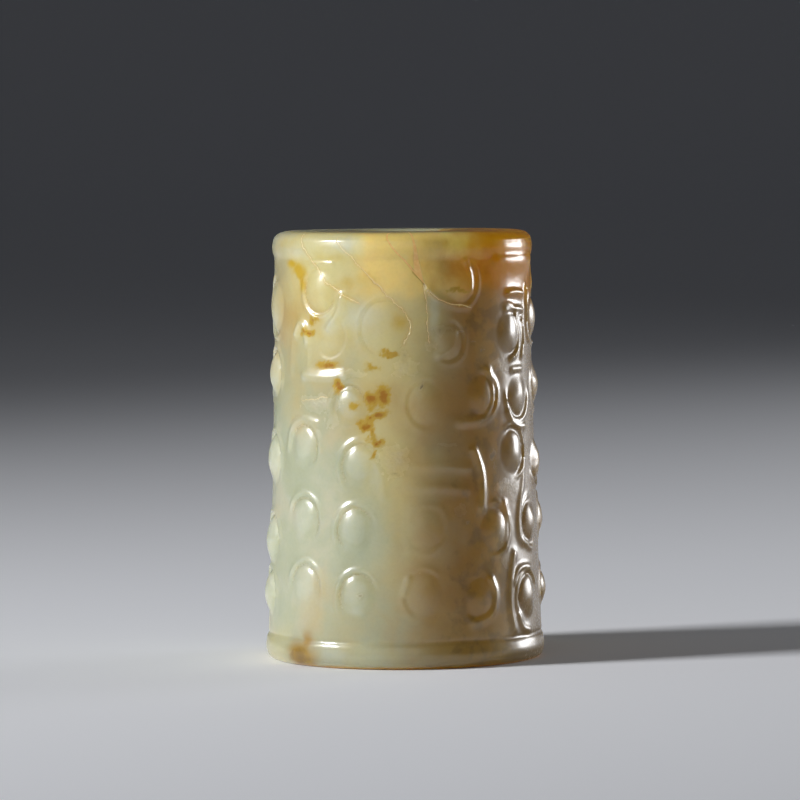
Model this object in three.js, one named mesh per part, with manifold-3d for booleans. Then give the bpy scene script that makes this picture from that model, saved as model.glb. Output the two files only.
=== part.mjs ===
// Carved jade tube pendant: a flared tube with a cord bore, two plain end bands and a field of raised
// grain bosses. A chip of the upper rim broke off and was set back with a thin layer of resin.
// Millimetres. +Z runs up the bore, the front face looks along -Y, and the origin is the centre of the base.

import * as THREE from "three";
import { mergeVertices } from "three/addons/utils/BufferGeometryUtils.js";
import { ConvexGeometry } from "three/addons/geometries/ConvexGeometry.js";
import Module from "manifold-3d";

const wasm = await Module();
wasm.setup();

// Tube
const TUBE_HEIGHT = 42;
const NECK_RADIUS = 12.5; // carved ground at the top end
const FOOT_RADIUS = 13.6; // carved ground at the base end
const FLARE_POWER = 1.6; // above 1 the tube opens mostly near its base
const BORE_RADIUS = 4.5;
const BORE_CHAMFER = 0.6;

// Plain end bands, with the rounding of their outer edges
const TOP_BAND_HEIGHT = 2;
const TOP_BAND_RELIEF = 0.16;
const TOP_EDGE_DROP = 1;
const TOP_EDGE_INSET = 1.4;
const BASE_BAND_HEIGHT = 2;
const BASE_BAND_RELIEF = 0.15;
const BASE_EDGE_RISE = 0.8;
const BASE_EDGE_INSET = 0.9;
const BAND_COVE = 0.5; // height of the slope from a band down to the carved ground

// Grain bosses
const BOSS_WIDTH = 3.7; // across, round the tube
const BOSS_TALL = 4.3;
const BOSS_RELIEF = 0.6;
const BOSS_ROOT = 0.45; // how far a boss runs into the tube below its edge
const BOSS_PITCH_DEG = 27.7; // even spacing on the back
const LOW_ROW_RISE = 5; // lowest row above the base band
const HIGH_ROW_DROP = 3.2; // highest row below the top band

// Rim chip: a wedge between two break planes, which meet along a ridge inside the wall
const CHIP_LEFT_DEG = -9; // where the left break crosses the top edge
const CHIP_RIGHT_DEG = 4.5;
const CHIP_TIP_DEG = 9.2; // where the two breaks meet on the outside
const CHIP_DROP = 4.8; // the tip below the top face
const CHIP_DEPTH = 3; // the ridge behind the outside, at the top face
const CHIP_ROOT_DEG = 1;
const BOND_THICKNESS = 0.16;
const BOND_CLEARANCE = 0.08; // between the resin and the stone on each side of it

// Facets
const TUBE_SIDES = 48;
const FLARE_STEPS = 7;
const EDGE_STEPS = 4;
const BOSS_SIDES = 10;
const BOSS_SHOULDER_DEG = 42; // the one ring between a boss's foot and its top
const MERGE_DISTANCE = 1e-4;

// Rows of bosses, lowest first. rise is the row's place between the lowest row (0) and the highest (1).
// front holds the hand-set bosses of the front face and the sides: [degrees round from the front, mm above
// the row].
const ROWS = [
  { rise: 0, front: [[-80, -0.4], [-47, 0.6], [-20, 0], [8, 0.3], [33, -0.3], [64, -0.6], [91, -0.3]] },
  { rise: 0.22, front: [[-78, -1.8], [-48, 0.5], [-21, -0.2], [9, 0.2], [42, -0.3], [69, 0.1]] },
  { rise: 0.44, front: [[-78, -0.4], [-49, 1.1], [-19, -0.6], [55, 0.5], [82, -0.6]] },
  { rise: 0.64, front: [[-78, 2], [-24, -0.8], [10, -0.5], [36, 0.1], [61, 0.1], [88, 0.9]] },
  { rise: 0.855, front: [[-77, 2.3], [-34, -0.5], [-8, 0.3], [20, -1], [54, -0.3], [83, 1]] },
  { rise: 1, front: [[-110, 0], [-40, -0.4], [26, 0.3], [105, 0]] },
];

const JADE = new THREE.MeshStandardMaterial({ color: 0xbdbb95, roughness: 0.25, metalness: 0 });
const STAINED_JADE = new THREE.MeshStandardMaterial({ color: 0xc9ae63, roughness: 0.3, metalness: 0 });
const RESIN = new THREE.MeshStandardMaterial({ color: 0xb08a5c, roughness: 0.45, metalness: 0 });

// Radius of the carved ground at a height above the base.
function groundRadius(height) {
  const below = 1 - height / TUBE_HEIGHT;
  return NECK_RADIUS + (FOOT_RADIUS - NECK_RADIUS) * below ** FLARE_POWER;
}

// A point at a radius, an angle round from the front, and a height.
function onTube(radius, degrees, height) {
  const angle = THREE.MathUtils.degToRad(degrees);
  return new THREE.Vector3(radius * Math.sin(angle), -radius * Math.cos(angle), height);
}

// A closed geometry as a solid that can be joined and cut.
function toSolid(geometry) {
  const bare = geometry.clone();
  bare.deleteAttribute("normal");
  bare.deleteAttribute("uv");
  const merged = mergeVertices(bare, MERGE_DISTANCE);
  const vertProperties = merged.attributes.position.array;
  const triVerts = new Uint32Array(merged.index.array);
  return new wasm.Manifold(new wasm.Mesh({ numProp: 3, vertProperties, triVerts }));
}

// A solid as a geometry again.
function toGeometry(solid) {
  const { vertProperties, triVerts } = solid.getMesh();
  const geometry = new THREE.BufferGeometry();
  geometry.setAttribute("position", new THREE.BufferAttribute(vertProperties, 3));
  geometry.setIndex(new THREE.BufferAttribute(triVerts, 1));
  geometry.computeVertexNormals();
  return geometry;
}

// Quarter of an ellipse from one corner point to another, without its first point.
function quarterRound(centre, across, up, startDeg) {
  const points = [];
  for (let step = 1; step <= EDGE_STEPS; step += 1) {
    const angle = THREE.MathUtils.degToRad(startDeg + (90 * step) / EDGE_STEPS);
    points.push(new THREE.Vector2(centre.x + across * Math.cos(angle), centre.y + up * Math.sin(angle)));
  }
  return points;
}

// Half section of the plain tube, from the bore's lower mouth outwards and up, closed on itself.
function tubeSection() {
  const point = (radius, height) => new THREE.Vector2(radius, height);
  const baseRadius = groundRadius(BASE_BAND_HEIGHT) + BASE_BAND_RELIEF;
  const topRadius = groundRadius(TUBE_HEIGHT - TOP_BAND_HEIGHT) + TOP_BAND_RELIEF;
  const baseRound = point(baseRadius - BASE_EDGE_INSET, BASE_EDGE_RISE);
  const topRound = point(topRadius - TOP_EDGE_INSET, TUBE_HEIGHT - TOP_EDGE_DROP);
  const fieldFoot = BASE_BAND_HEIGHT + BAND_COVE;
  const fieldTop = TUBE_HEIGHT - TOP_BAND_HEIGHT - BAND_COVE;

  const section = [point(BORE_RADIUS + BORE_CHAMFER, 0), point(baseRound.x, 0)];
  section.push(...quarterRound(baseRound, BASE_EDGE_INSET, BASE_EDGE_RISE, -90));
  section.push(point(baseRadius, BASE_BAND_HEIGHT));
  for (let step = 0; step <= FLARE_STEPS; step += 1) {
    const height = fieldFoot + ((fieldTop - fieldFoot) * step) / FLARE_STEPS;
    section.push(point(groundRadius(height), height));
  }
  section.push(point(topRadius, TUBE_HEIGHT - TOP_BAND_HEIGHT));
  section.push(point(topRadius, topRound.y));
  section.push(...quarterRound(topRound, TOP_EDGE_INSET, TOP_EDGE_DROP, 0));
  section.push(point(BORE_RADIUS + BORE_CHAMFER, TUBE_HEIGHT));
  section.push(point(BORE_RADIUS, TUBE_HEIGHT - BORE_CHAMFER));
  section.push(point(BORE_RADIUS, BORE_CHAMFER));
  section.push(section[0].clone());
  return section;
}

function plainTube() {
  return toSolid(new THREE.LatheGeometry(tubeSection(), TUBE_SIDES).rotateX(Math.PI / 2));
}

// Places of all the bosses: the hand-set front ones, and even ones over the arc that is left at the back.
function bossPlaces() {
  const lowest = BASE_BAND_HEIGHT + LOW_ROW_RISE;
  const highest = TUBE_HEIGHT - TOP_BAND_HEIGHT - HIGH_ROW_DROP;
  const places = [];
  for (const { rise, front } of ROWS) {
    const height = lowest + (highest - lowest) * rise;
    for (const [degrees, lift] of front) {
      places.push({ degrees, height: height + lift });
    }
    const last = front.at(-1)[0];
    const backArc = 360 + front[0][0] - last;
    const gaps = Math.round(backArc / BOSS_PITCH_DEG);
    for (let gap = 1; gap < gaps; gap += 1) {
      places.push({ degrees: last + (backArc * gap) / gaps, height });
    }
  }
  return places;
}

// One boss: an oval dome whose axis stands square to the tube.
function boss({ degrees, height }) {
  const shoulder = THREE.MathUtils.degToRad(BOSS_SHOULDER_DEG);
  const dome = new THREE.LatheGeometry(
    [
      new THREE.Vector2(0, -BOSS_ROOT),
      new THREE.Vector2(1, -BOSS_ROOT),
      new THREE.Vector2(1, 0),
      new THREE.Vector2(Math.cos(shoulder), BOSS_RELIEF * Math.sin(shoulder)),
      new THREE.Vector2(0, BOSS_RELIEF),
    ],
    BOSS_SIDES,
  );
  dome.scale(BOSS_WIDTH / 2, 1, BOSS_TALL / 2);
  const seat = onTube(groundRadius(height), degrees, height);
  const outward = onTube(1, degrees, 0);
  const up = new THREE.Vector3(0, 0, 1);
  const round = new THREE.Vector3().crossVectors(outward, up);
  const turn = new THREE.Matrix4().makeBasis(round, outward, up);
  return toSolid(dome.applyMatrix4(turn.setPosition(seat)));
}

function carvedTube() {
  return bossPlaces().reduce((tube, place) => tube.add(boss(place)), plainTube());
}

// The space between the two break planes. inset moves both planes into the chip.
function chipWedge(inset) {
  const rim = groundRadius(TUBE_HEIGHT - TOP_BAND_HEIGHT) + TOP_BAND_RELIEF;
  const tipHeight = TUBE_HEIGHT - CHIP_DROP;
  const root = onTube(rim - CHIP_DEPTH, CHIP_ROOT_DEG, TUBE_HEIGHT);
  const tip = onTube(groundRadius(tipHeight), CHIP_TIP_DEG, tipHeight);
  const ridge = tip.clone().sub(root);
  // Directions out of the ridge and along each break plane, square to the ridge.
  const flank = (degrees) => {
    const edge = onTube(rim, degrees, TUBE_HEIGHT).sub(root);
    return edge.sub(edge.clone().projectOnVector(ridge)).normalize();
  };
  const left = flank(CHIP_LEFT_DEG);
  const right = flank(CHIP_RIGHT_DEG);
  const middle = left.clone().add(right).normalize();
  const shift = inset / Math.sin(left.angleTo(right) / 2);
  const reach = 2 * CHIP_DROP;
  const corners = [];
  for (const along of [-1, 2]) {
    const spine = root.clone().addScaledVector(ridge, along).addScaledVector(middle, shift);
    corners.push(spine);
    corners.push(spine.clone().addScaledVector(left, reach));
    corners.push(spine.clone().addScaledVector(right, reach));
  }
  return toSolid(new ConvexGeometry(corners));
}

function namedMesh(name, solid, material) {
  const mesh = new THREE.Mesh(toGeometry(solid), material);
  mesh.name = name;
  return mesh;
}

const whole = carvedTube();
const seam = BOND_THICKNESS / 2;
const pendant = new THREE.Group();
pendant.add(
  namedMesh("jade_tube", whole.subtract(chipWedge(-seam - BOND_CLEARANCE)), JADE),
  namedMesh("rim_chip", whole.intersect(chipWedge(seam + BOND_CLEARANCE)), STAINED_JADE),
  namedMesh("chip_bond", whole.intersect(chipWedge(-seam)).subtract(chipWedge(seam)), RESIN),
);

export default pendant;
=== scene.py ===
"""Looks of a carved jade tube pendant: the nephrite tube, the chip set back in its rim, and its resin."""

import math

import bmesh
import bpy
import numpy as np
from mathutils import Matrix, Vector, noise


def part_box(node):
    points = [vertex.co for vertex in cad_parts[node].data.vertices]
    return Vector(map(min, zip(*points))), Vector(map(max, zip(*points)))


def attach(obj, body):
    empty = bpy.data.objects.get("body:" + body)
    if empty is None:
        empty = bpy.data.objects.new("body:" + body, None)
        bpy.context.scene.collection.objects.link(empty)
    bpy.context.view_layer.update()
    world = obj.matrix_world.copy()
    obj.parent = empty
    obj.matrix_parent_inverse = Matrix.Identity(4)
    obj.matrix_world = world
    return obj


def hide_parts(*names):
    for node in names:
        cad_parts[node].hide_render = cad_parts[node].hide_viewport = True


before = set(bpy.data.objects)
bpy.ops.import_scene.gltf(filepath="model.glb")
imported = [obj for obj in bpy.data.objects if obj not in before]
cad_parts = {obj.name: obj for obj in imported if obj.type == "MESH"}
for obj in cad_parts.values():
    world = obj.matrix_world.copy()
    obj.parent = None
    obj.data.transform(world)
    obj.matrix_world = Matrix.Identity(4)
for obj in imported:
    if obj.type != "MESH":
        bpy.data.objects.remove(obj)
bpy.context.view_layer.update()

MM = 0.001
PHOTO_SIDE = 800  # pixels across the picture

# Tube, as in the solids
TUBE_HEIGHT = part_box("jade_tube")[1].z
NECK_RADIUS = 12.5 * MM
FOOT_RADIUS = 13.6 * MM
FLARE_POWER = 1.6
BORE_RADIUS = 4.5 * MM
BORE_CHAMFER = 0.6 * MM
TOP_BAND_HEIGHT = 2 * MM
TOP_BAND_RELIEF = 0.16 * MM
TOP_EDGE_DROP = 1 * MM
TOP_EDGE_INSET = 1.4 * MM
BASE_BAND_HEIGHT = 2 * MM
BASE_BAND_RELIEF = 0.15 * MM
BASE_EDGE_RISE = 0.8 * MM
BASE_EDGE_INSET = 0.9 * MM
BAND_COVE = 0.7 * MM
BAND_CROWN = 0.07 * MM  # how far each band's middle stands out
BAND_ROUND = 0.45 * MM
BASE_GROOVE = 2.6 * MM  # height of the fine groove above the base band
BASE_GROOVE_WIDTH = 0.16 * MM
BASE_GROOVE_DEPTH = 0.08 * MM

# Mesh fineness
COLUMNS = 410
ROW_STEP = 0.2 * MM  # on the carved outside
PLAIN_STEP = 6 * MM  # in the bore and on the end faces
EDGE_STEPS = 6
PAST_EDGE = 1.001  # times a rounded edge's height, to be clear of its last row
MERGE_DISTANCE = 0.001 * MM
CORNER_CUT = 0.25  # share of a line's stretch that is cut off at each end to round it
SHARP_ANGLE = math.radians(55)  # edges that turn by more stay sharp

# Grain bosses, with the moat and the curled lip cut round each
BOSS_WIDTH = 3.7 * MM
BOSS_TALL = 4.3 * MM
BOSS_RELIEF = 0.6 * MM  # on the back
BOSS_FULLNESS = 1  # 0.5 is a half ellipse, and more is a softer foot
BOSS_MELT = 0.7  # added to the fullness where no lip faces the foot
BOSS_PITCH = math.radians(27.7)
LOW_ROW_RISE = 5 * MM
HIGH_ROW_DROP = 3.2 * MM
MOAT_OUT = 0.04 * MM  # from the boss's edge to the moat's deepest line
MOAT_WIDTH = 0.2 * MM
MOAT_DEPTH = 0.1 * MM
MOAT_LEAST = 0.1  # of its depth where no lip faces it
LIP_OUT = 0.36 * MM
LIP_WIDTH = 0.18 * MM  # towards the boss
LIP_SLOPE = 0.28 * MM  # away from it
LIP_RELIEF = 0.17 * MM
LIP_FULL = 0.29 * MM  # a boss lower than this has a weaker lip and moat
LIP_CURL = 0.2 * MM  # how much further out the lip's tail lies than its middle
LIP_REACH = math.radians(110)  # half of the arc that a lip covers
LIP_FADE = 0.7  # share of its reach where a lip starts to fade
BOSS_GROUND = 4.2 * MM  # a boss and its lip lie within this of its centre

# Rows of bosses, lowest first: the row's place between the lowest row (0) and the highest (1), then the
# front and side bosses as degrees round from the front, millimetres above the row, way that the lip faces
# (0 right, 90 up), size, and relief in millimetres.
ROWS = (
    (0, ((-80, -0.4, 80, 1.05, 0.6), (-47, 0.6, 75, 1.05, 0.27), (-20, 0, 125, 1, 0.33),
         (8, 0.3, 150, 0.95, 0.2), (33, -0.3, 330, 0.9, 0.24), (64, -0.6, 120, 1, 0.38),
         (91, -0.3, 120, 0.9, 0.6))),
    (0.22, ((-78, -1.8, 90, 1.15, 0.64), (-48, 0.5, 60, 1.05, 0.27), (-21, -0.2, 130, 1, 0.33),
            (9, 0.2, 250, 1, 0.16), (42, -0.3, 0, 0.95, 0.28), (69, 0.1, 190, 0.95, 0.4))),
    (0.44, ((-78, -0.4, 60, 1.15, 0.64), (-49, 1.1, 50, 1, 0.27), (-19, -0.6, 130, 1, 0.33),
            (55, 0.5, 20, 1, 0.34), (82, -0.6, 300, 1, 0.55))),
    (0.64, ((-78, 2, 60, 1.05, 0.62), (-24, -0.8, 110, 0.9, 0.35), (10, -0.5, 170, 0.95, 0.19),
            (36, 0.1, 350, 0.9, 0.3), (61, 0.1, 270, 1, 0.36), (88, 0.9, 240, 1, 0.55))),
    (0.855, ((-77, 2.3, 190, 1.2, 0.5), (-34, -0.5, 330, 0.85, 0.15), (-8, 0.3, 160, 1.25, 0.21),
             (20, -1, 345, 0.8, 0.22), (54, -0.3, 10, 1, 0.34), (83, 1, 180, 1, 0.5))),
    (1, ((-110, 0, 60, 1, 0.6), (-40, -0.4, 235, 0.98, 0.3), (26, 0.3, 335, 0.9, 0.24),
         (105, 0, 200, 1, 0.6))),
)
BACK_LIPS = (60, 130, 320, 200, 90, 270)  # ways that the lips face on the back, in turn

# Raised lines between the bosses: relief and half width in millimetres, then the line's points as degrees
# round from the front and millimetres above the base.
RAISED_LINES = (
    (0.26, 0.6, ((-48.5, 28.1), (-42, 28), (-34, 28), (-27, 28.2))),
    (0.07, 0.25, ((-46.5, 28.4), (-46.5, 31), (-47, 33))),
    (0.06, 0.4, ((-59, 28.4), (-58.5, 31), (-57, 33))),
    (0.3, 0.35, ((-55, 32.2), (-52.5, 33.2), (-49.5, 33.2), (-47.5, 32.4), (-47, 31.4))),
    (0.14, 0.3, ((-44, 39), (-38, 39.1), (-33, 39))),
    (0.36, 0.4, ((-27.5, 35.8), (-29.5, 34.2), (-34.5, 32.8))),
    (0.16, 0.35, ((-60.5, 21), (-58, 23.2), (-50, 24.1), (-41, 23.6))),
    (0.16, 0.4, ((-13, 20.4), (-9.5, 18.6), (-9, 16.8))),
    (0.1, 0.45, ((3, 19.5), (16, 19.6), (28, 19.3))),
    (0.1, 0.45, ((2, 17.5), (14, 17.6), (27, 17.2))),
    (0.26, 0.4, ((31.6, 21), (35, 19), (35.5, 17.2), (35, 15.4))),
    (0.25, 0.38, ((40, 28.6), (43.2, 26.6), (41, 24.8), (36, 23.8), (25, 23.7))),
    (0.26, 0.36, ((29, 39.3), (31.4, 37.8), (31, 36.4))),
    (0.14, 0.3, ((11, 36.6), (15, 35.7), (21, 35), (30, 34.8))),
    (0.24, 0.3, ((23, 32.4), (22.6, 30.9), (15.5, 30.2))),
    (0.2, 0.4, ((47.8, 15.6), (50, 13.7), (48, 11.5))),
    (0.26, 0.38, ((38.7, 8.4), (41.2, 6.9), (39, 5), (30, 4.4))),
    (0.3, 0.3, ((-0.3, 7.4), (1.6, 8.8))),
    (0.06, 0.35, ((1.5, 11.6), (1.5, 15.8), (18.5, 15.8), (18.5, 11.6), (1.5, 11.6))),
    (0.2, 0.3, ((56, 28.6), (64, 28.6))),
    (0.24, 0.35, ((52.5, 24.5), (55, 23.5), (60, 23), (66, 23))),
    (0.24, 0.3, ((52.5, 8), (55, 9), (60, 9.4), (66, 9.2))),
    (0.3, 0.26, ((60, 33.8), (63, 32.2), (61, 30.2), (55, 29.6))),
    (0.26, 0.26, ((66, 33.4), (66.5, 31), (65, 29.8))),
    (0.28, 0.28, ((71.5, 36.4), (71.5, 32.6), (74, 31.3), (82, 31))),
    (0.28, 0.34, ((54, 36), (60, 36.1), (67, 35.9))),
    (0.24, 0.3, ((52, 34.4), (60, 34.5), (67, 34.3))),
    (0.3, 1.2, ((48, 39.3), (62, 39.2), (76, 39.3))),
    (0.1, 0.2, ((50, 38.4), (60, 38.6), (69, 38.5))),
    (0.2, 0.38, ((64, 19.6), (62.5, 17.4), (59.5, 15.8), (57.8, 13.6), (58.6, 11.9), (66, 11.5))),
    (0.2, 0.38, ((53.5, 10.7), (51, 9), (50, 7), (50, 5), (52, 3.4))),
    (0.18, 0.34, ((56, 4.6), (58, 3.4), (64, 3.1))),
)

# Hand-cut unevenness of the outside
UNEVEN_SPAN = 9 * MM
UNEVEN_RELIEF = 0.07 * MM
UNEVEN_SEED = 3

# Soft noise of that unevenness and of the stains' edges
NOISE_DIMENSION = 0.8
NOISE_LACUNARITY = 2
NOISE_OCTAVES = 4

# Rim chip: its breaks, as in the solids, the chip's own stone and the resin's thickness
CHIP_LEFT = math.radians(-9)
CHIP_RIGHT = math.radians(4.5)
CHIP_TIP = math.radians(9.2)
CHIP_DROP = 4.8 * MM
CHIP_DEPTH = 3 * MM
CHIP_ROOT = math.radians(1)
STONE_TIP = math.radians(5.4)  # the chip's own tip, above a gap that the resin fills
STONE_DROP = 3.75 * MM
BREAK_BOND = 0.1 * MM
BOND_CLEARANCE = 0.01 * MM
BREAK_CLEAR = 1.2 * CHIP_DEPTH  # from the breaks to where light goes to its full depth in the stone
CHIP_AMBER = 0.6  # least share of amber on the chip

# Fissures: strength, then points as degrees round from the front and millimetres above the base
FISSURES = (
    (1, ((-52, 41.8), (-47, 40), (-42.3, 39), (-36.5, 37.5), (-28.5, 36.2), (-20.5, 35.4))),
    (0.8, ((-29, 41.2), (-20.5, 38.9), (-13.7, 37.7), (-6.8, 35.9), (0, 34.7), (4.6, 32.9), (0, 31.4))),
    (1, ((9.2, 37.2), (12.6, 36), (20.6, 35.1), (30, 34.8))),
    (0.7, ((9.2, 37.2), (10.3, 34.9), (11.5, 31.6))),
    (0.5, ((-36, 26.2), (-44, 25.9), (-50, 25.7))),
)
FISSURE_FADE = 0.6 * MM  # beyond this from a fissure nothing of it shows

# Patches of stain and painted shade, pits, milky veils and bruises: degrees round from the front,
# millimetres above the base, half width and half height in millimetres, and strength
IRON_PATCHES = (
    (-14, 26, 0.45, 0.5, 1), (-9, 26.4, 0.5, 0.7, 1), (-8.6, 25.9, 0.3, 0.4, 1),
    (-10.5, 24.6, 0.55, 0.35, 1), (-14.6, 24.3, 0.3, 0.35, 0.9), (-16.6, 23.6, 0.5, 0.35, 0.9),
    (-13.4, 22.8, 0.25, 0.5, 0.7), (-12, 21.9, 0.5, 0.35, 1), (-13, 21.2, 0.15, 0.5, 0.7),
    (-35, 29.2, 0.8, 0.35, 0.8), (-29, 27.3, 0.4, 0.4, 0.9), (-47, 32.3, 0.7, 0.3, 0.8),
    (-43, 33.6, 0.6, 0.3, 0.6), (-22, 25.4, 0.45, 0.4, 0.45), (-6.5, 30.4, 0.7, 0.2, 0.6),
    (-14, 29, 0.5, 0.3, 0.45), (26, 36.4, 1, 0.2, 0.6),
)
PITS = (
    (-19, 7.2, 0.3, 0.22, 2), (-18.6, 6.7, 0.22, 0.18, 2), (8, 27.2, 0.2, 0.2, 2),
    (-4, 18.9, 0.2, 0.15, 1.6), (28, 14.1, 0.2, 0.2, 1.6), (16, 32.6, 0.4, 0.4, 1.5),
    (21, 32.8, 0.6, 0.2, 1.6), (26, 32.4, 0.7, 0.2, 1.6), (32, 31.4, 0.6, 0.3, 1.5),
    (37, 30.6, 0.4, 0.3, 1.7), (42, 20.2, 0.4, 0.8, 1.7), (43, 19.2, 0.3, 0.5, 1.5),
    (0.5, 30.2, 0.3, 0.5, 1.4), (36, 24, 0.8, 0.3, 1.4), (20, 21.5, 1.2, 0.2, 1.3),
    (45, 12.6, 0.4, 0.6, 1.5),
)
# The two broad brown patches at the top of the left edge are painted shade, which darkens that edge; the
# others are stains.
BROWN_PATCHES = (
    (-50.5, 0.8, 1.5, 1.3, 1.5), (-47.5, 2.4, 0.8, 0.9, 0.9), (-70, 36, 4, 6, 0.35),
    (-73, 37.5, 2.5, 2, 0.45), (-4, 13, 1.5, 4.5, 0.36),
)
HONEY_PATCHES = (
    (-60, 38.6, 1, 0.35, 1), (-54, 38.2, 1.1, 0.5, 1), (-51, 37.4, 0.5, 0.8, 0.9),
    (-69, 40.7, 3, 0.9, 0.35), (-35, 40, 3, 0.6, 0.4), (-26, 37.2, 1.4, 1.2, 0.5),
    (-1, 33.2, 0.8, 1.2, 0.6), (-18, 37.5, 2, 1.2, 0.4), (25, 41, 5, 0.9, 0.4), (-28, 24.4, 1.8, 0.8, 0.3),
)
RUSSET_PATCHES = (
    (62, 41.4, 2.4, 0.5, 0.8), (50, 39.9, 1.6, 0.9, 0.9), (47, 38.4, 1.6, 1.2, 0.8),
    (38, 38.4, 2.4, 1.4, 0.45), (57, 40.1, 1.6, 0.3, 0.8), (62, 37.2, 2, 0.5, 0.8),
    (58, 35.3, 1.6, 0.4, 0.7), (100, 40, 5, 1.5, 0.7), (130, 37, 4, 3, 0.5), (30, 39.3, 3, 0.8, 0.5),
)
VEIL_PATCHES = (
    (12.5, 34, 0.6, 2.4, 0.8), (-3, 36.3, 2, 0.9, 0.45), (-19, 40.8, 3, 0.9, 0.9),
    (-13, 18.6, 0.6, 1.8, 0.6), (-21, 5.6, 1, 0.6, 0.7), (-55, 40, 2.6, 0.9, 0.6), (-30, 1.4, 2.4, 0.7, 0.5),
    (-34, 31.5, 1.2, 1, 0.4), (22, 36, 0.8, 0.8, 0.4), (-22, 14, 1.2, 1.4, 0.3), (-20, 24.8, 1.2, 1, 0.4),
    (-20, 34, 2.5, 1.6, 0.8), (-33, 33.2, 1.5, 1.2, 0.7), (-14, 13.5, 1.2, 4, 0.5),
)
TAN_PATCHES = (
    (-42, 27.5, 8, 4, 0.7), (-18, 25.5, 5, 4, 0.65), (-52, 34.5, 3, 4, 0.5), (-22, 3.5, 6, 3, 0.6),
    (-24, 7, 4, 3, 0.45), (-30, 31, 5, 3, 0.35),
)
BRUISE_PATCHES = (
    (-40, 25.6, 1.6, 0.5, 1), (-33, 24.2, 0.5, 0.8, 0.6), (-4, 20.2, 0.9, 1, 0.9), (51, 29.2, 1.4, 0.5, 1),
    (51, 17.2, 1.7, 0.6, 0.9), (1, 29, 0.8, 0.6, 0.6), (48, 10.4, 0.5, 0.8, 0.6), (12, 31, 0.5, 0.4, 0.6),
    (25, 15.3, 0.5, 0.5, 0.5), (-24, 28.4, 1.2, 0.25, 0.7),
)
PATCH_FALL = 0.7  # how quickly a patch fades from its middle

# Broad stains, painted shade and painted light: strength, then steps up the tube in millimetres above the
# base, and steps round it in degrees from the front. A step goes from nothing at its first number to full at
# its second.
# Painted shade: the right side is darkened, added on top of the brown.
RIGHT_SIDE_SHADE = (0.8, (), ((38, 62), (140, 100)))
IVORY_HEAD = (1, ((22, 38),), ())
# Painted light: ivory laid on the left of the foot to lighten it, as the lit floor would.
PAINTED_FOOT_LIGHT = (0.7, ((7, 1),), ((-50, -64), (-175, -130)))
AMBER_RIM = (1, ((32, 39.5),), ((50, 20),))
AMBER_LEFT = (0.75, (), ((-34, -12),))
AMBER_RIGHT = (0.25, (), ((-2, 8),))
RUSSET_RIM = (1, ((33, 38.5),), ((-14, 46), (170, 120)))
RUSSET_CLEARED = (0.9, ((38.5, 41),), ((44, 12),))  # taken off the russet
# Painted shade and glow: an orange line along the bottom edge where it meets the floor, in the russet's
# colour.
FOOT_EDGE_SHADE_AND_GLOW = (0.8, ((0.5, 0.1),), ((-55, -35), (170, 120)))
# Painted light: the raised bosses on the lower left are painted paler, as if lit.
PAINTED_BOSS_LIGHT = (0.5, ((37, 33),), ((10, -20),))
SATIN_WALL = (1, ((2.4, 3), (40, 39.4)), ())
SATIN_EDGE = (1.6, (), ((35, 62), (150, 110)))

# Streaks up the tube: strength, steps up it as above, then the middle and the half width in degrees
# These ivory streaks are painted light: they lighten the front and the front of the foot.
PAINTED_FRONT_LIGHT = ((1, ((-6, 24),), -2, 20), (0.7, ((3.5, 1.5),), -15, 25))
AMBER_STREAK = (0.35, ((34, 40), (41.5, 39.5)), 4, 12)

# Brown that soaked in from the right, in degrees, and its steps up the tube in millimetres
BROWN_MIDDLE = math.radians(75)
BROWN_REACH = 88  # from its middle to where it ends
BROWN_FADE = 45  # over which it fades
BROWN_NARROW = (18, 34)  # step to its narrow upper part
BROWN_REACH_LOSS = 14  # there
BROWN_FADE_LOSS = 16  # there
BROWN_FOOT = (16, 6)  # step to its wide foot
BROWN_FOOT_REACH = 5  # added there
BROWN_LEAST = -0.3

# Ivory and satin that fade to both sides of a middle, in degrees
IVORY_MIDDLE = -30
IVORY_SIDES = (20, 46)
# Painted shade: losing the ivory at the sides also darkens the left edge, which faces the light.
IVORY_LOSS = 0.8  # at the sides
SATIN_MIDDLE = math.radians(-60)
SATIN_SIDES = (100, 75)

# Other limits of stains and polish
SATIN_TOP = (37, 33)  # step up the tube, in millimetres
SATIN_TOP_SHARE = 0.5  # of the right edge's satin, above that step
RIM_THROUGH = 0.3  # share of the rim's stains that reaches the bore
PROUD_RELIEF = (0.03 * MM, 0.22 * MM)  # carving high enough to be painted paler, as painted light

# Jags in the edges of fissures and spots, and the slow drift of broad stains
JAG_SPAN = 0.9 * MM
JAG_ROUND = 0.014  # radians
JAG_UP = 0.16 * MM
JAG_SEEDS = (37, 41)  # round and up
IRON_JAG = 2.5  # times a fissure's jag
BRUISE_JAG = 3
PIT_JAG = 2
DRIFT_ROUND = 0.1  # radians, at the neck's radius
DRIFT_ROUND_SPAN = 7 * MM
DRIFT_UP = 1.2 * MM
DRIFT_UP_SPAN = 6 * MM
DRIFT_SEEDS = (11, 23)  # round and up
DRIFT_BACK = 3  # added on the back, times the front's
BACK_SIDES = (95, 140)  # degrees from the front, either way
VEIL_DRIFT = 0.3  # share of the drift that veils follow

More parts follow.
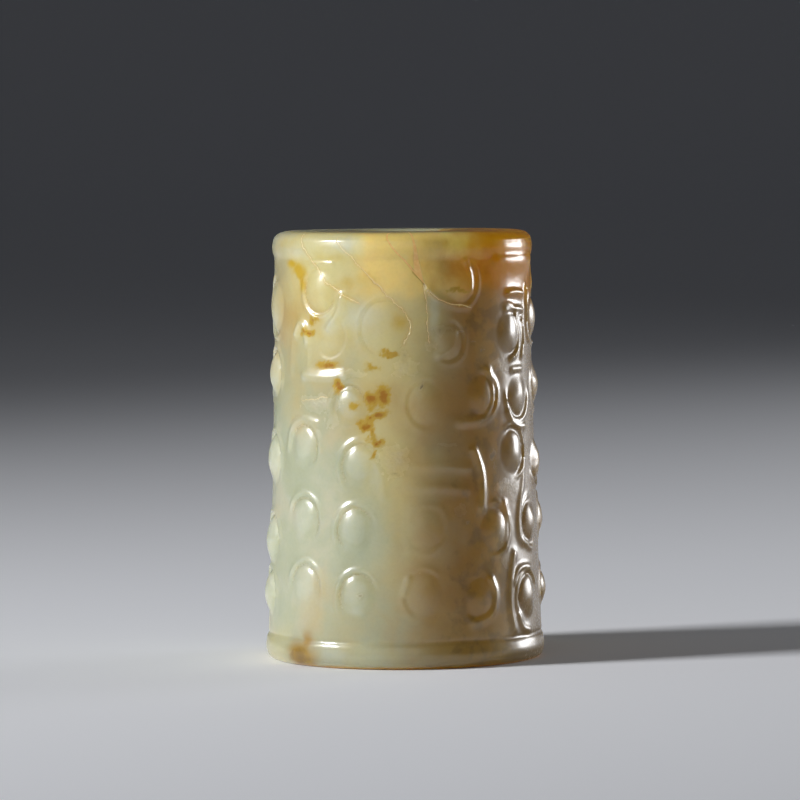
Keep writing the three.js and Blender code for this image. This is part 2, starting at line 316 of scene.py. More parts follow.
# Finish of the stone
NEPHRITE_IOR = 1.61
CLOUD_SPAN = 6 * MM
MOTTLE_SPAN = 1.3 * MM
FELT_SPAN = 0.3 * MM
CLOUD_CONTRAST = (0.3, 0.7)
FELT_SHADE = (0.94, 1.06)
HAIRLINE_WANDER = 0.11  # millimetres either way
HAIRLINE_EDGE = (0.02, 0.09)  # millimetres off a fissure's line, from full to nothing
HALO_EDGE = (0.05, 0.5)  # the same for the stain beside a fissure
HALO_MOST = 0.5
POLISH_ROUGHNESS = (0.12, 0.22)
SATIN_ROUGHNESS = 0.06
BRUISE_ROUGHNESS = 0.3
MOAT_ROUGHNESS = 0.08
RIPPLE_DEPTH = 0.02 * MM
BRUISE_DEPTH = 0.08 * MM
HAIRLINE_DEPTH = 0.05 * MM
HAZE = 0.72  # weight of the fine wear over the polish
LIGHT_DEPTH = 24 * MM  # how far light spreads in the stone
BREAK_LIGHT_DEPTH = 0.15 * MM  # and at the breaks

# Finish of the resin
RESIN_IOR = 1.5
BUBBLE_SPAN = 0.3 * MM
BUBBLE_DEPTH = 0.03 * MM
RESIN_ROUGHNESS = (0.3, 0.5)

# Camera
CAMERA_PLACE = Vector((-0.33, -480, 51.5)) * MM
CAMERA_PITCH = math.radians(-3.126)
CAMERA_ROLL = math.radians(-0.44)
SENSOR_WIDTH = 36  # millimetres, as the camera's own setting is
FOCAL_PIXELS = 4880

# Stage, in metres
FLOOR_HALF = 4
SWEEP_RADIUS = 1.2
SWEEP_BACK = 4
SWEEP_TOP = 3
SWEEP_STEPS = 16


def hex_colour(text):
    """Linear red, green, blue and alpha of an sRGB colour written as #rrggbb."""
    channels = [int(text[at:at + 2], 16) / 255 for at in (1, 3, 5)]
    return (*(c / 12.92 if c <= 0.04045 else ((c + 0.055) / 1.055) ** 2.4 for c in channels), 1)


def smooth_step(low, high, value):
    """Goes smoothly from 0 at the first bound to 1 at the second, which may be the lower."""
    share = np.clip((value - low) / (high - low), 0, 1)
    return share * share * (3 - 2 * share)


def ground_radius(height):
    """Radius of the carved ground at a height above the base."""
    below = np.clip(1 - height / TUBE_HEIGHT, 0, 1)
    return NECK_RADIUS + (FOOT_RADIUS - NECK_RADIUS) * below ** FLARE_POWER


def on_tube(radius, angle, height):
    """A point at a radius, an angle round from the front and a height."""
    return Vector((radius * math.sin(angle), -radius * math.cos(angle), height))


def turned_from(angle, middle):
    """Angles measured from a middle one, between minus and plus half a turn."""
    return (angle - middle + math.pi) % (2 * math.pi) - math.pi


def rounded(points):
    """A line with its corners cut twice, so that it bends smoothly."""
    line = np.array(points, float)
    for _ in range(2):
        near = (1 - CORNER_CUT) * line[:-1] + CORNER_CUT * line[1:]
        far = CORNER_CUT * line[:-1] + (1 - CORNER_CUT) * line[1:]
        middle = np.stack((near, far), axis=1).reshape(-1, 2)
        line = np.vstack((line[:1], middle, line[-1:]))
    return line


def line_points(points):
    """Points given in degrees and millimetres, as a smooth line in radians and metres."""
    line = rounded(points)
    return np.column_stack((np.radians(line[:, 0]), line[:, 1] * MM))


def side_of_line(angle, height, line):
    """Distance from a line on the tube, positive on its left, and the same without a sign."""
    radius = ground_radius(height)
    nearest = np.full(angle.shape, np.inf)
    signed = np.full(angle.shape, np.inf)
    for start, end in zip(line[:-1], line[1:]):
        across = turned_from(angle, start[0]) * radius
        up = height - start[1]
        run = turned_from(end[0], start[0]) * radius
        climb = end[1] - start[1]
        along = np.clip((across * run + up * climb) / (run * run + climb * climb), 0, 1)
        distance = np.hypot(across - along * run, up - along * climb)
        closer = distance < nearest
        nearest = np.where(closer, distance, nearest)
        signed = np.where(closer, np.copysign(distance, run * up - climb * across), signed)
    return signed, nearest


def boss_list():
    """All the bosses as angle, height, way that the lip faces, size and relief, even on the back."""
    lowest = BASE_BAND_HEIGHT + LOW_ROW_RISE
    highest = TUBE_HEIGHT - TOP_BAND_HEIGHT - HIGH_ROW_DROP
    bosses = []
    for rise, front in ROWS:
        height = lowest + (highest - lowest) * rise
        for degrees, lift, lip, size, relief in front:
            bosses.append((math.radians(degrees), height + lift * MM, math.radians(lip), size, relief * MM))
        last = math.radians(front[-1][0])
        back_arc = 2 * math.pi + math.radians(front[0][0]) - last
        gaps = round(back_arc / BOSS_PITCH)
        for gap in range(1, gaps):
            lip = BACK_LIPS[len(bosses) % len(BACK_LIPS)]
            bosses.append((last + back_arc * gap / gaps, height, math.radians(lip), 1, BOSS_RELIEF))
    return bosses


def boss_relief(across, up, lip, size, relief):
    """Heights of one boss with its lip, and depths of its moat, at places beside its centre."""
    half_width = BOSS_WIDTH / 2 * size
    half_tall = BOSS_TALL / 2 * size
    reach = np.hypot(across / half_width, up / half_tall)
    outside = (reach - 1) * (half_width + half_tall) / 2
    facing = turned_from(np.arctan2(up, across), lip)
    faced = 1 - smooth_step(LIP_FADE * LIP_REACH, LIP_REACH, np.abs(facing))
    dome = relief * np.clip(1 - reach * reach, 0, 1) ** (BOSS_FULLNESS + BOSS_MELT * (1 - faced))
    lip_out = LIP_OUT + LIP_CURL * np.clip(facing / LIP_REACH, 0, 1)
    lip_width = np.where(outside < lip_out, LIP_WIDTH, LIP_SLOPE)
    crisp = min(1, relief / LIP_FULL) ** 2
    raised = LIP_RELIEF * crisp * faced * np.exp(-((outside - lip_out) / lip_width) ** 2)
    moat = MOAT_DEPTH * crisp * (MOAT_LEAST + (1 - MOAT_LEAST) * faced)
    sunk = moat * np.exp(-((outside - MOAT_OUT) / MOAT_WIDTH) ** 2)
    return np.maximum(dome, raised), sunk


def carved_relief(angle, height):
    """How far the carving stands above the ground at each place, and below it in the moats."""
    raised = np.zeros(angle.shape)
    sunk = np.zeros(angle.shape)
    radius = ground_radius(height)
    for middle, centre, lip, size, relief in boss_list():
        across = turned_from(angle, middle) * radius
        up = height - centre
        near = np.hypot(across, up) < BOSS_GROUND
        boss, moat = boss_relief(across[near], up[near], lip, size, relief)
        raised[near] = np.maximum(raised[near], boss)
        sunk[near] = np.maximum(sunk[near], moat)
    for relief, half_width, points in RAISED_LINES:
        distance = side_of_line(angle, height, line_points(points))[1]
        raised = np.maximum(raised, relief * MM * np.exp(-(distance / (half_width * MM)) ** 2))
    return raised - sunk


def tube_outline():
    """Half section of the plain tube, from the base's edge up and back down the bore, and the row step of
    each stretch."""
    base_radius = ground_radius(BASE_BAND_HEIGHT) + BASE_BAND_RELIEF
    top_radius = ground_radius(TUBE_HEIGHT - TOP_BAND_HEIGHT) + TOP_BAND_RELIEF
    mouth = BORE_RADIUS + BORE_CHAMFER
    quarter = [math.pi / 2 * step / EDGE_STEPS for step in range(EDGE_STEPS + 1)]
    base_round = [
        (base_radius - BASE_EDGE_INSET * (1 - math.sin(turn)), BASE_EDGE_RISE * (1 - math.cos(turn)))
        for turn in quarter
    ]
    top_round = [
        (
            top_radius - TOP_EDGE_INSET * (1 - math.cos(turn)),
            TUBE_HEIGHT - TOP_EDGE_DROP * (1 - math.sin(turn)),
        )
        for turn in quarter
    ]
    outside = base_round + top_round
    inside = [
        (mouth, TUBE_HEIGHT),
        (BORE_RADIUS, TUBE_HEIGHT - BORE_CHAMFER),
        (BORE_RADIUS, BORE_CHAMFER),
        (mouth, 0),
    ]
    steps = [ROW_STEP] * (len(outside) - 1) + [PLAIN_STEP] * (len(inside) + 1)
    return outside + inside, steps


def new_piece(name, shape):
    """An object from a finished bmesh."""
    mesh = bpy.data.meshes.new(name)
    shape.to_mesh(mesh)
    shape.free()
    piece = bpy.data.objects.new(name, mesh)
    bpy.context.scene.collection.objects.link(piece)
    return piece


def places(mesh):
    """Angle round from the front, height and radius of each vertex."""
    co = np.empty(len(mesh.vertices) * 3)
    mesh.vertices.foreach_get("co", co)
    x, y, z = co.reshape(-1, 3).T
    return np.arctan2(x, -y), z, np.hypot(x, y)


def cloud(mesh, span, seed):
    """Soft random value at each vertex, from about -1 to 1, that changes over a span."""
    away = Vector((seed, 0, 0))
    kind = (NOISE_DIMENSION, NOISE_LACUNARITY, NOISE_OCTAVES)
    return np.array([noise.fractal(v.co / span + away, *kind) for v in mesh.vertices])


def turned_tube():
    """The plain tube, spun from its outline."""
    outline, steps = tube_outline()
    shape = bmesh.new()
    corners = [shape.verts.new((radius, 0, height)) for radius, height in outline]
    edges = [shape.edges.new((start, end)) for start, end in zip(corners, corners[1:] + corners[:1])]
    for edge, step in zip(edges, steps):
        cuts = math.ceil(edge.calc_length() / step) - 1
        if cuts > 0:
            bmesh.ops.subdivide_edges(shape, edges=[edge], cuts=cuts)
    section = list(shape.verts) + list(shape.edges)
    bmesh.ops.spin(
        shape, geom=section, cent=(0, 0, 0), axis=(0, 0, 1), angle=2 * math.pi, steps=COLUMNS, use_merge=True
    )
    bmesh.ops.remove_doubles(shape, verts=shape.verts, dist=MERGE_DISTANCE)
    bmesh.ops.recalc_face_normals(shape, faces=shape.faces)
    return new_piece("carved_jade_tube", shape)


def carve(piece):
    """Moves the outside of the tube to its flare, its bosses and lines, and its hand-cut unevenness."""
    mesh = piece.data
    angle, height, radius = places(mesh)
    below = TUBE_HEIGHT - height
    between = (height > BASE_EDGE_RISE * PAST_EDGE) & (below > TOP_EDGE_DROP * PAST_EDGE)
    wall = (radius > BORE_RADIUS * 2) & between
    base_band = 1 - smooth_step(BASE_BAND_HEIGHT, BASE_BAND_HEIGHT + BAND_COVE, height)
    top_band = 1 - smooth_step(TOP_BAND_HEIGHT, TOP_BAND_HEIGHT + BAND_COVE, below)
    plain = ground_radius(height) + BASE_BAND_RELIEF * base_band + TOP_BAND_RELIEF * top_band
    carving = carved_relief(angle, height) * (1 - base_band) * (1 - top_band)
    groove = BASE_GROOVE_DEPTH * np.exp(-((height - BASE_GROOVE) / BASE_GROOVE_WIDTH) ** 2)
    from_crown = np.minimum(
        np.abs(below - (TOP_EDGE_DROP + TOP_BAND_HEIGHT) / 2),
        np.abs(height - (BASE_EDGE_RISE + BASE_BAND_HEIGHT) / 2),
    )
    crown = BAND_CROWN * np.exp(-(from_crown / BAND_ROUND) ** 2)
    radius = np.where(wall, plain + carving + crown - groove, radius)
    outside = radius > NECK_RADIUS - TOP_EDGE_INSET / 2
    uneven = UNEVEN_RELIEF * cloud(mesh, UNEVEN_SPAN, UNEVEN_SEED)
    radius[outside] += uneven[outside]
    co = np.column_stack((radius * np.sin(angle), -radius * np.cos(angle), height))
    mesh.vertices.foreach_set("co", co.ravel())
    mesh.update()


def chip_wedge(inset, tip_angle, drop):
    """The space between two breaks that meet at a tip outside, each moved into the chip by an inset."""
    rim = ground_radius(TUBE_HEIGHT - TOP_BAND_HEIGHT) + TOP_BAND_RELIEF
    tip_height = TUBE_HEIGHT - drop
    root = on_tube(rim - CHIP_DEPTH, CHIP_ROOT, TUBE_HEIGHT)
    ridge = on_tube(ground_radius(tip_height), tip_angle, tip_height) - root
    left = on_tube(rim, CHIP_LEFT, TUBE_HEIGHT) - root
    right = on_tube(rim, CHIP_RIGHT, TUBE_HEIGHT) - root
    left_normal = ridge.cross(left).normalized()
    right_normal = right.cross(ridge).normalized()
    if left_normal.dot(right) < 0:
        left_normal.negate()
        right_normal.negate()
    root += (left_normal + right_normal) * (inset / (1 + left_normal.dot(right_normal)))
    reach = 2 * CHIP_DROP
    shape = bmesh.new()
    for spine in (root - ridge, root + 2 * ridge):
        for corner in (spine, spine + left.normalized() * reach, spine + right.normalized() * reach):
            shape.verts.new(corner)
    bmesh.ops.convex_hull(shape, input=shape.verts)
    bmesh.ops.recalc_face_normals(shape, faces=shape.faces)
    return new_piece("chip_wedge", shape)


def cut_piece(piece, operation, wedge):
    """Cuts or keeps what a wedge covers, and puts the wedge away."""
    modifier = piece.modifiers.new("break", "BOOLEAN")
    modifier.operation = operation
    modifier.solver = "MANIFOLD"
    modifier.object = wedge
    bpy.context.view_layer.update()
    cut = bpy.data.meshes.new_from_object(piece.evaluated_get(bpy.context.evaluated_depsgraph_get()))
    piece.modifiers.clear()
    cut.name = piece.name
    piece.data = cut
    bpy.data.objects.remove(wedge)


def copy_of(piece, name):
    """Another object with its own copy of a piece's mesh."""
    copy = bpy.data.objects.new(name, piece.data.copy())
    bpy.context.scene.collection.objects.link(copy)
    return copy


def patch_strength(angle, height, patches):
    """Strength of soft patches at each place."""
    strength = np.zeros(angle.shape)
    radius = ground_radius(height)
    for degrees, above, half_width, half_height, most in patches:
        across = turned_from(angle, math.radians(degrees)) * radius / (half_width * MM)
        up = (height - above * MM) / (half_height * MM)
        strength = np.maximum(strength, most * np.exp(-PATCH_FALL * (across * across + up * up)))
    return strength


def fissure_field(angle, height):
    """Signed distance to the nearest fissure in millimetres, and how strongly that fissure shows."""
    signed = np.full(angle.shape, FISSURE_FADE)
    nearest = np.full(angle.shape, np.inf)
    strength = np.zeros(angle.shape)
    for most, points in FISSURES:
        side, distance = side_of_line(angle, height, line_points(points))
        closer = distance < nearest
        nearest = np.where(closer, distance, nearest)
        signed = np.where(closer, side, signed)
        strength = np.where(closer, most, strength)
    strength *= 1 - smooth_step(0.5 * FISSURE_FADE, FISSURE_FADE, nearest)
    return np.clip(signed, -FISSURE_FADE, FISSURE_FADE) / MM, strength


def keep_layer(mesh, name, *values):
    """Keeps three values per vertex as a layer that the stone's finish reads."""
    layer = mesh.attributes.new(name, "FLOAT_VECTOR", "POINT")
    layer.data.foreach_set("vector", np.column_stack(values).astype(np.float32).ravel())


def stepped_strength(above, degrees, strength, up_steps, round_steps):
    """Strength of a broad stain, a broad painted light or shade, or a stretch of polish at each place, from
    its steps up the tube and round it.
    """
    for step in up_steps:
        strength = strength * smooth_step(*step, above)
    for step in round_steps:
        strength = strength * smooth_step(*step, degrees)
    return strength


def streak_strength(above, degrees, strength, up_steps, middle, half_width):
    """Strength of a streak up the tube at each place."""
    across = np.exp(-((degrees - middle) / half_width) ** 2)
    return stepped_strength(above, degrees, strength, up_steps, ()) * across


def brown_side(angle, above):
    """Strength of the brown that soaked in from the right, which narrows towards the top."""
    narrow = smooth_step(*BROWN_NARROW, above)
    reach = BROWN_REACH - BROWN_REACH_LOSS * narrow + BROWN_FOOT_REACH * smooth_step(*BROWN_FOOT, above)
    off_middle = np.degrees(np.abs(turned_from(angle, BROWN_MIDDLE)))
    return np.clip((reach - off_middle) / (BROWN_FADE - BROWN_FADE_LOSS * narrow), BROWN_LEAST, 1)


def ivory_light_and_shade(above, degrees):
    """Strength of the ivory at the upper left, which fades to the sides as painted shade, and of the ivory
    laid on as painted light in the front streaks and at the left of the foot.
    """
    sides = smooth_step(*IVORY_SIDES, np.abs(degrees - IVORY_MIDDLE))
    ivory = stepped_strength(above, degrees, *IVORY_HEAD) * (1 - IVORY_LOSS * sides)
    for streak in PAINTED_FRONT_LIGHT:
        ivory = np.maximum(ivory, streak_strength(above, degrees, *streak))
    return np.maximum(ivory, stepped_strength(above, degrees, *PAINTED_FOOT_LIGHT))


def amber_rim(above, degrees, least):
    """Strength of the amber under the rim, and no less than a least."""
    sides = stepped_strength(above, degrees, *AMBER_LEFT) + stepped_strength(above, degrees, *AMBER_RIGHT)
    amber = np.maximum(stepped_strength(above, degrees, *AMBER_RIM) * sides, least)
    return amber + streak_strength(above, degrees, *AMBER_STREAK)


def satin_polish(level, angle):
    """Where the polish is softer: on the carved wall at the left and along the right edge."""
    degrees = np.degrees(angle)
    off_middle = np.degrees(np.abs(turned_from(angle, SATIN_MIDDLE)))
    left = stepped_strength(level, degrees, *SATIN_WALL) * smooth_step(*SATIN_SIDES, off_middle)
    share = SATIN_TOP_SHARE + (1 - SATIN_TOP_SHARE) * smooth_step(*SATIN_TOP, level)
    return left + stepped_strength(level, degrees, *SATIN_EDGE) * share


def keep_stains_light_and_shade(piece, least_amber):
    """Keeps on a stone piece where each stain, veil, bruise and fissure lies, and where shade and light are
    painted: shade in the moats, along the right side, at the top of the left edge and along the bottom edge
    with a glow, and light at the front, at the foot and on the lower left bosses.
    """
    mesh = piece.data
    angle, height, radius = places(mesh)
    level = height / MM
    jag_round = JAG_ROUND * cloud(mesh, JAG_SPAN, JAG_SEEDS[0])
    jag_up = JAG_UP * cloud(mesh, JAG_SPAN, JAG_SEEDS[1])
    behind = smooth_step(*BACK_SIDES, np.degrees(np.abs(angle)))
    drift_round = DRIFT_ROUND * (1 + DRIFT_BACK * behind) * cloud(mesh, DRIFT_ROUND_SPAN, DRIFT_SEEDS[0])
    drift_round *= NECK_RADIUS / np.maximum(radius, BORE_RADIUS)
    drift_up = DRIFT_UP * cloud(mesh, DRIFT_UP_SPAN, DRIFT_SEEDS[1])
    soft_angle = turned_from(angle + drift_round, 0)
    soft_height = height + drift_up
    degrees = np.degrees(soft_angle)
    above = soft_height / MM

    brown_and_shade = np.maximum(brown_side(soft_angle, above), patch_strength(soft_angle, height, BROWN_PATCHES))
    # painted shade along the right side, added to the brown
    brown_and_shade += stepped_strength(above, degrees, *RIGHT_SIDE_SHADE)
    russet_and_foot_shade = stepped_strength(above, degrees, *RUSSET_RIM)
    russet_and_foot_shade *= 1 - stepped_strength(above, degrees, *RUSSET_CLEARED)
    russet_and_foot_shade = np.maximum(russet_and_foot_shade, patch_strength(soft_angle, soft_height, RUSSET_PATCHES))
    # painted contact shade and glow along the bottom edge
    russet_and_foot_shade = np.maximum(russet_and_foot_shade, stepped_strength(level, degrees, *FOOT_EDGE_SHADE_AND_GLOW))
    inward = smooth_step(BORE_RADIUS, NECK_RADIUS - TOP_EDGE_INSET, radius)
    through = RIM_THROUGH + (1 - RIM_THROUGH) * inward
    keep_layer(mesh, "ground_stain_light_and_shade", brown_and_shade, ivory_light_and_shade(above, degrees), russet_and_foot_shade * through)

    amber = amber_rim(above, degrees, least_amber) * through
    tan = patch_strength(soft_angle, soft_height, TAN_PATCHES)
    keep_layer(mesh, "warm_stain", amber, tan, satin_polish(level, angle))

    outside = radius > NECK_RADIUS - TOP_EDGE_INSET
    relief = carved_relief(angle, height)
    iron = patch_strength(angle + IRON_JAG * jag_round, height + IRON_JAG * jag_up, IRON_PATCHES)
    honey = patch_strength((soft_angle + angle) / 2, (soft_height + height) / 2, HONEY_PATCHES)
    veil_and_boss_light = patch_strength(angle + VEIL_DRIFT * drift_round, height + VEIL_DRIFT * drift_up, VEIL_PATCHES)
    proud = smooth_step(*PROUD_RELIEF, relief) * outside
    # painted light: the lower left bosses are painted paler where they stand proud
    veil_and_boss_light = np.maximum(veil_and_boss_light, proud * stepped_strength(above, degrees, *PAINTED_BOSS_LIGHT))
    keep_layer(mesh, "patch_stain_and_boss_light", iron, honey, veil_and_boss_light)

    bruise = patch_strength(angle + BRUISE_JAG * jag_round, height + BRUISE_JAG * jag_up, BRUISE_PATCHES)
    # painted shade in the moats round the bosses, with the dark pits
    moat_shade_and_pits = np.clip(-relief / MOAT_DEPTH, 0, 1) * outside
    moat_shade_and_pits = np.maximum(moat_shade_and_pits, patch_strength(angle + PIT_JAG * jag_round, height + PIT_JAG * jag_up, PITS))
    bore = smooth_step(BORE_RADIUS + 2 * BORE_CHAMFER, BORE_RADIUS, radius)
    keep_layer(mesh, "bruises_shade_and_bore", bruise * outside, moat_shade_and_pits, bore)

    signed, strength = fissure_field(angle + jag_round, height + jag_up)
    beside = np.maximum(0, np.abs(turned_from(angle, CHIP_ROOT)) * radius - CHIP_DEPTH)
    under = np.maximum(0, TUBE_HEIGHT - CHIP_DROP - height)
    clear = smooth_step(0, BREAK_CLEAR, np.hypot(beside, under))
    keep_layer(mesh, "fissure", signed, strength * outside, clear)


def add_node(tree, kind, inputs=None, **settings):
    """Adds a node with its settings, and with inputs that are values or other nodes' outputs."""
    made = tree.nodes.new(kind)
    for name, value in settings.items():
        setattr(made, name, value)
    for socket, value in (inputs or {}).items():
        if isinstance(value, bpy.types.NodeSocket):
            tree.links.new(value, made.inputs[socket])
        else:
            made.inputs[socket].default_value = value
    return made


def new_material(name):
    """A material with its tree, its Principled shader and its Object coordinates."""
    material = bpy.data.materials.new(name)
    material.use_nodes = True
    tree = material.node_tree
    coordinates = add_node(tree, "ShaderNodeTexCoord").outputs["Object"]
    return material, tree, tree.nodes["Principled BSDF"], coordinates


def polished_nephrite():
    """Nephrite jade, drilled, carved with abrasive and polished: a waxy gloss over a stone that light
    enters, pale celadon in the mass, with cloudy veils, brown suffusion, russet rind and iron spots where
    water got in."""
    material, tree, shader, coordinates = new_material("polished_nephrite")

    # Cloudy mass, mottle and felted fibres: the span, detail and distortion of each
    grains = []
    for span, detail, distortion in ((CLOUD_SPAN, 5, 0.3), (MOTTLE_SPAN, 4, 0), (FELT_SPAN, 3, 0)):
        texture = add_node(
            tree,
            "ShaderNodeTexNoise",
            {"Vector": coordinates, "Scale": 1 / span, "Detail": detail, "Distortion": distortion},
        )
        grains.append(texture.outputs["Fac"])
    clouds, mottle, felt = grains
    clouds = add_node(
        tree,
        "ShaderNodeMapRange",
        {"Value": clouds, "From Min": CLOUD_CONTRAST[0], "From Max": CLOUD_CONTRAST[1]},
    ).outputs[0]
    layers = []
    for name in ("ground_stain_light_and_shade", "warm_stain", "patch_stain_and_boss_light", "bruises_shade_and_bore", "fissure"):
        layer = add_node(tree, "ShaderNodeAttribute", attribute_name=name).outputs["Vector"]
        layers.append(add_node(tree, "ShaderNodeSeparateXYZ", {0: layer}).outputs)
    ground, warm, patch, wear_and_shade, fissure = layers

    # A hairline whose edge wanders a little off the fissure's middle line, and the stain beside it
    wander = add_node(
        tree,
        "ShaderNodeMath",
        {0: felt, 1: 2 * HAIRLINE_WANDER, 2: -HAIRLINE_WANDER},
        operation="MULTIPLY_ADD",
    ).outputs[0]
    off_line = add_node(tree, "ShaderNodeMath", {0: fissure["X"], 1: wander}, operation="ADD").outputs[0]
    off_line = add_node(tree, "ShaderNodeMath", {0: off_line}, operation="ABSOLUTE").outputs[0]
    beside_line = []
    for (near, far), most in ((HAIRLINE_EDGE, 1), (HALO_EDGE, HALO_MOST)):
        shown = add_node(
            tree,
            "ShaderNodeMapRange",
            {"Value": off_line, "From Min": near, "From Max": far, "To Min": most, "To Max": 0},
            interpolation_type="SMOOTHSTEP",
        ).outputs[0]
        shown = add_node(tree, "ShaderNodeMath", {0: shown, 1: fissure["Y"]}, operation="MULTIPLY")
        beside_line.append(shown.outputs[0])
    hairline, halo = beside_line

    # Paler clouds that show only inside the brown
    brown_clouds = add_node(
        tree, "ShaderNodeMath", {0: ground["X"], 1: clouds}, operation="MULTIPLY"
    ).outputs[0]

    colour = add_node(
        tree,
        "ShaderNodeMix",
        {0: clouds, 6: hex_colour("#a4a98c"), 7: hex_colour("#b5bca5")},
        data_type="RGBA",
    ).outputs[2]
    # Each tint: where it lies, the grain that breaks it up and by how much, its edge from nothing to full,
    # its most, and its colour
    tints = (
        (clouds, mottle, 0.3, 0.55, 1.1, 0.6, "#c6c9ba"),  # milky clouds
        (ground["Y"], clouds, 0.35, 0.0, 1.0, 0.95, "#cfc38a"),  # ivory, with painted light at the front and at the foot, and painted shade at the sides
        (warm["Y"], clouds, 0.5, 0.1, 1.0, 0.85, "#b8a162"),  # tan
        (ground["X"], clouds, 0.3, -0.15, 1.15, 1.0, "#a27814"),  # brown, deepened by the painted shade along the right side
        (brown_clouds, mottle, 0.3, 0.3, 0.9, 0.35, "#b7a066"),  # pale clouds in the brown
        (ground["X"], clouds, 0.1, 1.1, 1.8, 0.6, "#7a5c1c"),  # dark brown: painted shade along the right side, and the brown patch at the foot
        (ground["X"], mottle, 2.0, 0.9, 1.3, 0.4, "#5e4a1c"),  # its mottle
        (patch["Z"], mottle, 0.3, 0.2, 1.0, 0.7, "#c5c9b6"),  # milky veils, and painted light that makes the lower left bosses paler
        (warm["X"], mottle, 0.3, 0.1, 0.9, 0.95, "#f6da82"),  # amber
        (warm["X"], mottle, 0.2, 0.95, 1.6, 0.85, "#ffd060"),  # strongest amber
        (patch["Y"], mottle, 0.5, 0.1, 0.9, 0.95, "#c2a01c"),  # honey
        (ground["Z"], mottle, 0.6, 0.1, 1.1, 1.0, "#c28800"),  # russet, and the painted shade and glow along the bottom edge
        (ground["Z"], mottle, 0.9, 0.8, 1.5, 0.55, "#8a4c00"),  # darkest russet
        (halo, mottle, 0.3, 0.1, 0.6, 0.3, "#c79a4e"),  # stain beside the fissures
        (patch["X"], felt, 0.3, 0.02, 0.35, 0.9, "#b69600"),  # fringe of the iron spots
        (patch["X"], felt, 0.7, 0.35, 0.85, 1.0, "#a27000"),  # their cores
        (wear_and_shade["X"], mottle, 1.2, 0.4, 0.9, 0.25, "#c4bba3"),  # bruises
        (wear_and_shade["Y"], mottle, 0.3, 0.05, 0.9, 0.2, "#8a743c"),  # painted shade in the moats round the bosses
        (wear_and_shade["Y"], mottle, 0.1, 1.1, 1.8, 0.7, "#5c4e2c"),  # pits
        (hairline, felt, 0.5, 0.2, 0.8, 0.8, "#ecd6a0"),  # fissures
        (wear_and_shade["Z"], clouds, 0.2, 0.2, 1.0, 0.6, "#8d7a4d"),  # bore
    )
    for place, breaker, spread, low, high, most, tint in tints:
        broken = add_node(
            tree, "ShaderNodeMath", {0: breaker, 1: spread, 2: -spread / 2}, operation="MULTIPLY_ADD"
        ).outputs[0]
        broken = add_node(tree, "ShaderNodeMath", {0: place, 1: broken}, operation="ADD").outputs[0]
        amount = add_node(
            tree,
            "ShaderNodeMapRange",
            {"Value": broken, "From Min": low, "From Max": high, "To Max": most},
            interpolation_type="SMOOTHSTEP",
        ).outputs[0]
        colour = add_node(
            tree, "ShaderNodeMix", {0: amount, 6: colour, 7: hex_colour(tint)}, data_type="RGBA"
        ).outputs[2]
    # Fine felted texture of the stone
    shade = add_node(
        tree, "ShaderNodeMapRange", {"Value": felt, "To Min": FELT_SHADE[0], "To Max": FELT_SHADE[1]}
    ).outputs[0]
    colour = add_node(tree, "ShaderNodeVectorMath", {0: colour, 3: shade}, operation="SCALE").outputs[0]
    tree.links.new(colour, shader.inputs["Base Color"])

    rough = add_node(
        tree,
        "ShaderNodeMapRange",
        {"Value": felt, "To Min": POLISH_ROUGHNESS[0], "To Max": POLISH_ROUGHNESS[1]},
    ).outputs[0]
    rougher = (
        (warm["Z"], SATIN_ROUGHNESS),
        (wear_and_shade["X"], BRUISE_ROUGHNESS),
        (wear_and_shade["Y"], MOAT_ROUGHNESS),
    )
    for place, more in rougher:
        rough = add_node(
            tree, "ShaderNodeMath", {0: place, 1: more, 2: rough}, operation="MULTIPLY_ADD"
        ).outputs[0]
    tree.links.new(rough, shader.inputs["Roughness"])

    # Slight ripple left by hand polishing, the broken surface of bruises, and the fissures' open edges
    ripple = add_node(tree, "ShaderNodeBump", {"Strength": 1, "Distance": RIPPLE_DEPTH, "Height": mottle})
    pitting = add_node(tree, "ShaderNodeMath", {0: felt, 1: wear_and_shade["X"]}, operation="MULTIPLY").outputs[0]
    pits = add_node(
        tree,
        "ShaderNodeBump",
        {"Strength": 1, "Distance": BRUISE_DEPTH, "Height": pitting, "Normal": ripple.outputs[0]},
    )
    groove = add_node(
        tree,
        "ShaderNodeBump",
        {"Strength": 1, "Distance": HAIRLINE_DEPTH, "Height": hairline, "Normal": pits.outputs[0]},
        invert=True,
    )
    tree.links.new(groove.outputs[0], shader.inputs["Normal"])

    shader.inputs["IOR"].default_value = NEPHRITE_IOR
    # A haze of fine wear over the polish, except on the russet and the iron spots
    rind = add_node(tree, "ShaderNodeMath", {0: ground["Z"], 1: patch["X"]}, operation="MAXIMUM").outputs[0]
    haze = add_node(tree, "ShaderNodeMapRange", {"Value": rind, "To Min": HAZE, "To Max": 0}).outputs[0]
    tree.links.new(haze, shader.inputs["Coat Weight"])
    shader.inputs["Coat Roughness"].default_value = 0.5
    shader.inputs["Subsurface Weight"].default_value = 1
    shader.inputs["Subsurface Radius"].default_value = (1, 0.85, 0.6)
    # Light goes deep into the whole stone, and only a little way beside the breaks
    depth = add_node(
        tree,
        "ShaderNodeMapRange",
        {"Value": fissure["Z"], "To Min": BREAK_LIGHT_DEPTH, "To Max": LIGHT_DEPTH},
    ).outputs[0]
    tree.links.new(depth, shader.inputs["Subsurface Scale"])
    return material


